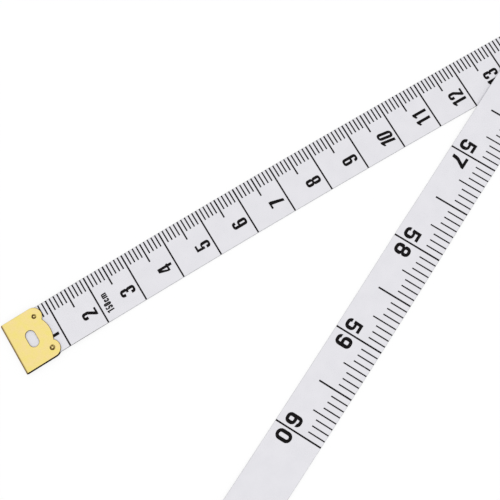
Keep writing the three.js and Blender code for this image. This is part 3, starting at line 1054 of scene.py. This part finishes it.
def leaf_outline():
    """One leaf from the fold's side edge round both ears, in millimetres from the outer edge."""
    ear_x = tip_length / mm - tip_ear_radius
    ear_y = tip_width / 2 - tip_ear_radius
    bulge_x = tip_bulge_reach - tip_bulge_radius
    apart = math.hypot(ear_x - bulge_x, ear_y)
    towards_ear = math.atan2(ear_y, ear_x - bulge_x)
    meets = (tip_bulge_radius**2 + apart**2 - tip_ear_radius**2) / (2 * apart * tip_bulge_radius)
    bulge_end = towards_ear - math.acos(meets)
    notch_x = bulge_x + tip_bulge_radius * math.cos(bulge_end)
    notch_y = tip_bulge_radius * math.sin(bulge_end)
    ear_end = math.atan2(notch_y - ear_y, notch_x - ear_x)
    lower_ear = arc(ear_x, -ear_y, tip_ear_radius, -quarter_turn, -ear_end)
    bulge = arc(bulge_x, 0, tip_bulge_radius, -bulge_end, bulge_end)
    upper_ear = arc(ear_x, ear_y, tip_ear_radius, ear_end, quarter_turn)
    return lower_ear + bulge[1:-1] + upper_ear


slot_round = tip_slot_width / 2
slot_reach = tip_slot_length / 2 - slot_round
slot_outline = arc(tip_slot_distance, slot_reach, slot_round, 0, math.pi) + arc(
    tip_slot_distance, -slot_reach, slot_round, math.pi, 2 * math.pi
)
front_leaf = [(x + leaf_start, y) for x, y in leaf_outline()]
back_leaf = [(-x, y) for x, y in reversed(front_leaf)]
blank_outlines = [front_leaf + back_leaf, [(x + leaf_start, y) for x, y in slot_outline]]
for side in (1, -1):
    for leaf in (1, -1):
        hole_x, hole_y = leaf * (rivet_distance + leaf_start), side * rivet_offset
        hole = arc(hole_x, hole_y, rivet_hole_radius, 0, 2 * math.pi, hole_steps)
        blank_outlines.append(hole[:-1])


def fold_over(blank):
    """Bends the blank round the tape's end, a little askew, and gives it its life size."""
    for vertex in blank.data.vertices:
        along, across, out = vertex.co
        turn = max(-quarter_turn, min(quarter_turn, along / fold_mid_radius))
        past = max(abs(along) - fold_arc, 0)
        radius = fold_mid_radius + out
        skew = fold_skew + (mouth_skew - fold_skew) * past * mm / tip_length
        vertex.co = (
            fold_radius + (past - radius * math.cos(turn) + across * skew) * mm,
            (across - back_leaf_shift * (1 - math.sin(turn)) / 2) * mm,
            fold_radius + radius * math.sin(turn) * mm,
        )


brass_yellow = (0.755, 0.63, 0.205)
brass_pink = (0.765, 0.612, 0.265)
fold_brown = (0.23, 0.14, 0.045)
# The edge colours are tarnish with painted shade: black for the side away from the light and the gap
# between the leaves, brown for the other cut edges.
shade_and_tarnish_brown = (0.12, 0.075, 0.028)
shade_and_tarnish_black = (0.012, 0.007, 0.003)
tarnish_thick_to = 0.3
tarnish_crept_to = 0.62
tarnish_patches = 1.4
tarnish_roughness = (0.85, 0.6)
brass_clouds = 0.55
brass_roughness = (0.3, 0.46)
grain_scale = 9
grain_stretch = (0.15, 1, 1)
grain_depth = 0.004 * mm

sheet_brass, shader, nodes, links = plain_material("sheet brass", brass_yellow, 0.38, 1.0)
over_sheet = from_map(nodes, "over_sheet")
brass = mottled(nodes, links, over_sheet, brass_clouds, brass_yellow, brass_pink)[0]
from_fold = nodes.new("ShaderNodeSeparateXYZ")
links.new(over_sheet, from_fold.inputs[0])
away_from_fold = worked_out(nodes, links, "ABSOLUTE", from_fold.outputs["X"])
crept = ranged(nodes, links, away_from_fold, tarnish_thick_to, tarnish_crept_to, 1, 0)
links.new(blended(nodes, links, crept, brass, fold_brown), shader.inputs["Base Color"])
grain = nodes.new("ShaderNodeTexNoise")
grain.inputs["Scale"].default_value = grain_scale
grain.inputs["Detail"].default_value = 3
rolled = nodes.new("ShaderNodeMapping")
rolled.inputs["Scale"].default_value = grain_stretch
links.new(over_sheet, rolled.inputs["Vector"])
links.new(rolled.outputs["Vector"], grain.inputs["Vector"])
varied(nodes, links, grain.outputs["Fac"], *brass_roughness, shader.inputs["Roughness"])
bumped(nodes, links, grain.outputs["Fac"], grain_depth, 0.35, shader)


def tarnish(name, thick, thin, low, high):
    return mottled_material(
        name, thick, thin, tarnish_patches, tarnish_roughness,
        specular=0.15, map_name="over_sheet", low=low, high=high,
    )


# Painted shade over tarnish: the black one for the shaded side and the gap between the leaves, the
# brown one for the outlines of ears, bulge and slot.
black_tarnish_and_painted_shade = tarnish("black tarnish and painted shade edge", shade_and_tarnish_black, shade_and_tarnish_brown, 0.5, 0.85)
brown_tarnish_and_painted_shade = tarnish("brown tarnish and painted shade edge", shade_and_tarnish_brown, fold_brown, 0.3, 0.7)

# How far a normal has to point up or down for a level face, up for the rim along the lit side,
# which stays bright brass, and to the other side for an edge in black painted shade.
level = 0.99
lit_rim_tilt = 0.2
painted_shade_tilt = -0.3
fold_cut_places = np.linspace(-fold_arc, fold_arc, 2 * fold_cuts + 1)
blank = flat_solid(
    "blank", blank_outlines, tip_sheet / mm, fold_cut_places, Vector((1, 0, 0)), tip_rim_round
)
blank_mesh = blank.data
blank_map = blank_mesh.uv_layers.new(name="over_sheet")
for face in blank_mesh.polygons:
    # Painted light: faces turned to one side and the inside faces get black painted shade, and the top
    # rim on the other side stays bright brass as if lit.
    lit_side_rim = face.normal.z > lit_rim_tilt and face.center.y > tip_width / 2 - 2 * tip_rim_round
    in_painted_shade = face.normal.y < painted_shade_tilt or face.normal.z < -level
    outside = face.normal.z > level or lit_side_rim
    face.material_index = 0 if outside else 1 if in_painted_shade else 2
    for loop in face.loop_indices:
        place = blank_mesh.vertices[blank_mesh.loops[loop].vertex_index].co
        blank_map.data[loop].uv = place.x, place.y
fold_over(blank)
for finish in (sheet_brass, black_tarnish_and_painted_shade, brown_tarnish_and_painted_shade):
    blank_mesh.materials.append(finish)


def lying_at(x, y, heading):
    return Matrix.Translation((x, y, 0)) @ Matrix.Rotation(heading, 4, "Z")


inch_tip_reach = inch_end_distance - crossing_inch_distance
x, y, heading = swept(inch_line_back, inch_sweep_radius, inch_tip_reach)
tip_places = {
    "metric": lying_at(*swept(metric_zero, metric_sweep_radius, -scale_inset)),
    "inch": lying_at(x, y, heading + math.pi),
}


def placed_copy(original, name, place, smooth_degrees):
    mesh = original.data.copy()
    mesh.transform(place)
    copy = new_piece(name, mesh)
    smooth(copy, smooth_degrees)
    return copy


for end, place in tip_places.items():
    tip = placed_copy(blank, end + "_brass_tip", place, tip_smooth_degrees)
    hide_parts(end + "_tip")
    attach(tip, end + "_end")
bpy.data.objects.remove(blank)

# The rivets: small brass pins through both leaves and the tape, each spread in a dimple of the
# front leaf, so that a bright round centre stands in a dark ring of tarnish and painted shade.
pin_profile = [
    (0, 0.05), (0.35, 0.05), (0.35, 1.0), (0.42, 1.052), (0.58, 1.055), (0.6, 1.07),
    (0.58, 1.085), (0.52, 1.09), (0.4, 1.04), (0.31, 0.985), (0.26, 0.985), (0.235, 1.03),
    (0.19, 1.09), (0.12, 1.12), (0, 1.13),
]
pin_steps = 32
pin_smooth_degrees = 35
pin_spread = {"left": 0.95, "right": 1.08}
ring_inner = 0.22
ring_outer = 0.62
ring_low = 0.9

pin_curve = bpy.data.curves.new("pin", "CURVE")
pin_curve.dimensions = "3D"
pin = drawn_mesh("pin", pin_curve, [[(x, 0, z) for x, z in pin_profile]], False)
bpy.ops.mesh.spin(steps=pin_steps, angle=2 * math.pi, center=(0, 0, 0), axis=(0, 0, 1))
bpy.ops.mesh.select_all(action="SELECT")
bpy.ops.mesh.remove_doubles(threshold=merge_distance)
bpy.ops.mesh.normals_make_consistent(inside=False)
bpy.ops.object.mode_set(mode="OBJECT")

pin_yellow = (0.8, 0.66, 0.33)
# The ring's brown is tarnish with the painted shade of the groove round the head.
pin_shade_and_tarnish_brown = (0.11, 0.05, 0.015)
pin_patches = 2500
ring_patches = 2600
pin_bright = mottled_material(
    "pin brass", pin_yellow, brass_yellow, pin_patches, roughness=(0.25, 0.4), metallic=1.0
)
pin_tarnish_and_painted_shade = mottled_material(
    "pin tarnish and painted shade", pin_shade_and_tarnish_brown, brass_yellow, ring_patches, roughness=(0.6, 0.4), metallic=0.9,
    low=0.5, high=0.75,
)
pin.data.materials.append(pin_bright)
pin.data.materials.append(pin_tarnish_and_painted_shade)
# The ring round the head, over its rim and the groove inside it, is painted dark: tarnish with the
# groove's painted shade.
for face in pin.data.polygons:
    away = math.hypot(face.center.x, face.center.y)
    in_painted_shade_ring = ring_inner < away < ring_outer and face.center.z > ring_low
    face.material_index = 1 if in_painted_shade_ring else 0
pin.data.transform(Matrix.Scale(mm, 4))

for end, place in tip_places.items():
    for side, name in ((1, "left"), (-1, "right")):
        spot = Matrix.Translation((rivet_distance * mm, side * rivet_offset * mm, 0))
        size = Matrix.Diagonal((pin_spread[name], pin_spread[name], 1, 1))
        pin_place = place @ spot @ size
        rivet = placed_copy(pin, end + "_rivet_pin_" + name, pin_place, pin_smooth_degrees)
        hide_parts(end + "_tip_rivet_" + name)
        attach(rivet, end + "_end")
bpy.data.objects.remove(pin)
